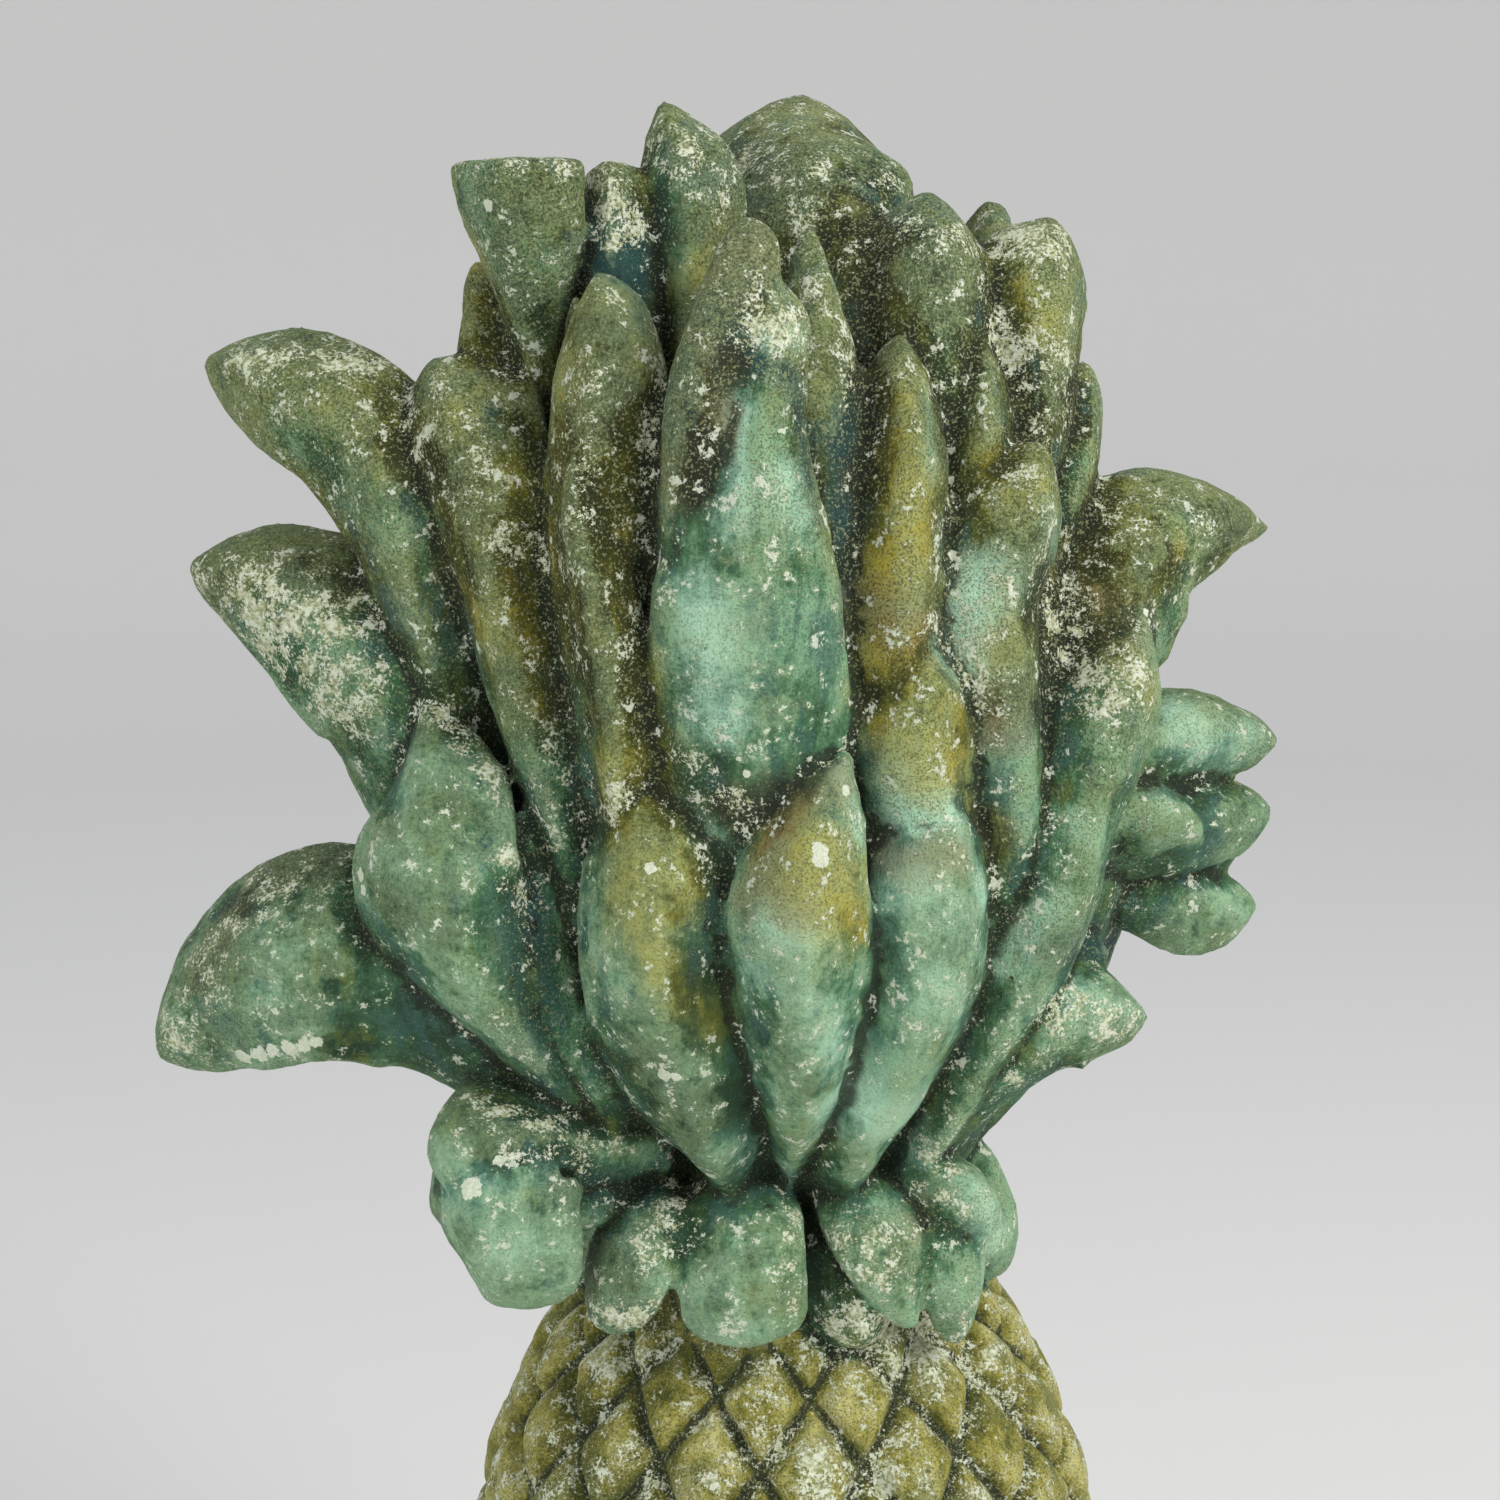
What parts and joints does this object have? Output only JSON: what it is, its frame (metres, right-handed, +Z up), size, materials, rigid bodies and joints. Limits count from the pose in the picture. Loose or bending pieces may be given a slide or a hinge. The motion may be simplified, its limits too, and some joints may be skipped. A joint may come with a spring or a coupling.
{
  "type": "pineapple ornament",
  "caption": "Cast-stone pineapple finial with a tall crown of thick curling leaves, a collar of small leaves, a lattice fruit and a low round base.",
  "frame": {"origin": "middle of the round base's underside", "axes": "+Z up along the fruit's axis to the crown, -Y is the front, +X is to the right of a viewer at the front"},
  "size_m": [0.2934, 0.2084, 0.5599],
  "materials": {
    "weathered_stone": "worn verdigris and ochre paint with lichen"
  },
  "bodies": {
    "root": {"pineapple_finial": "weathered_stone"}
  },
  "joints": []
}
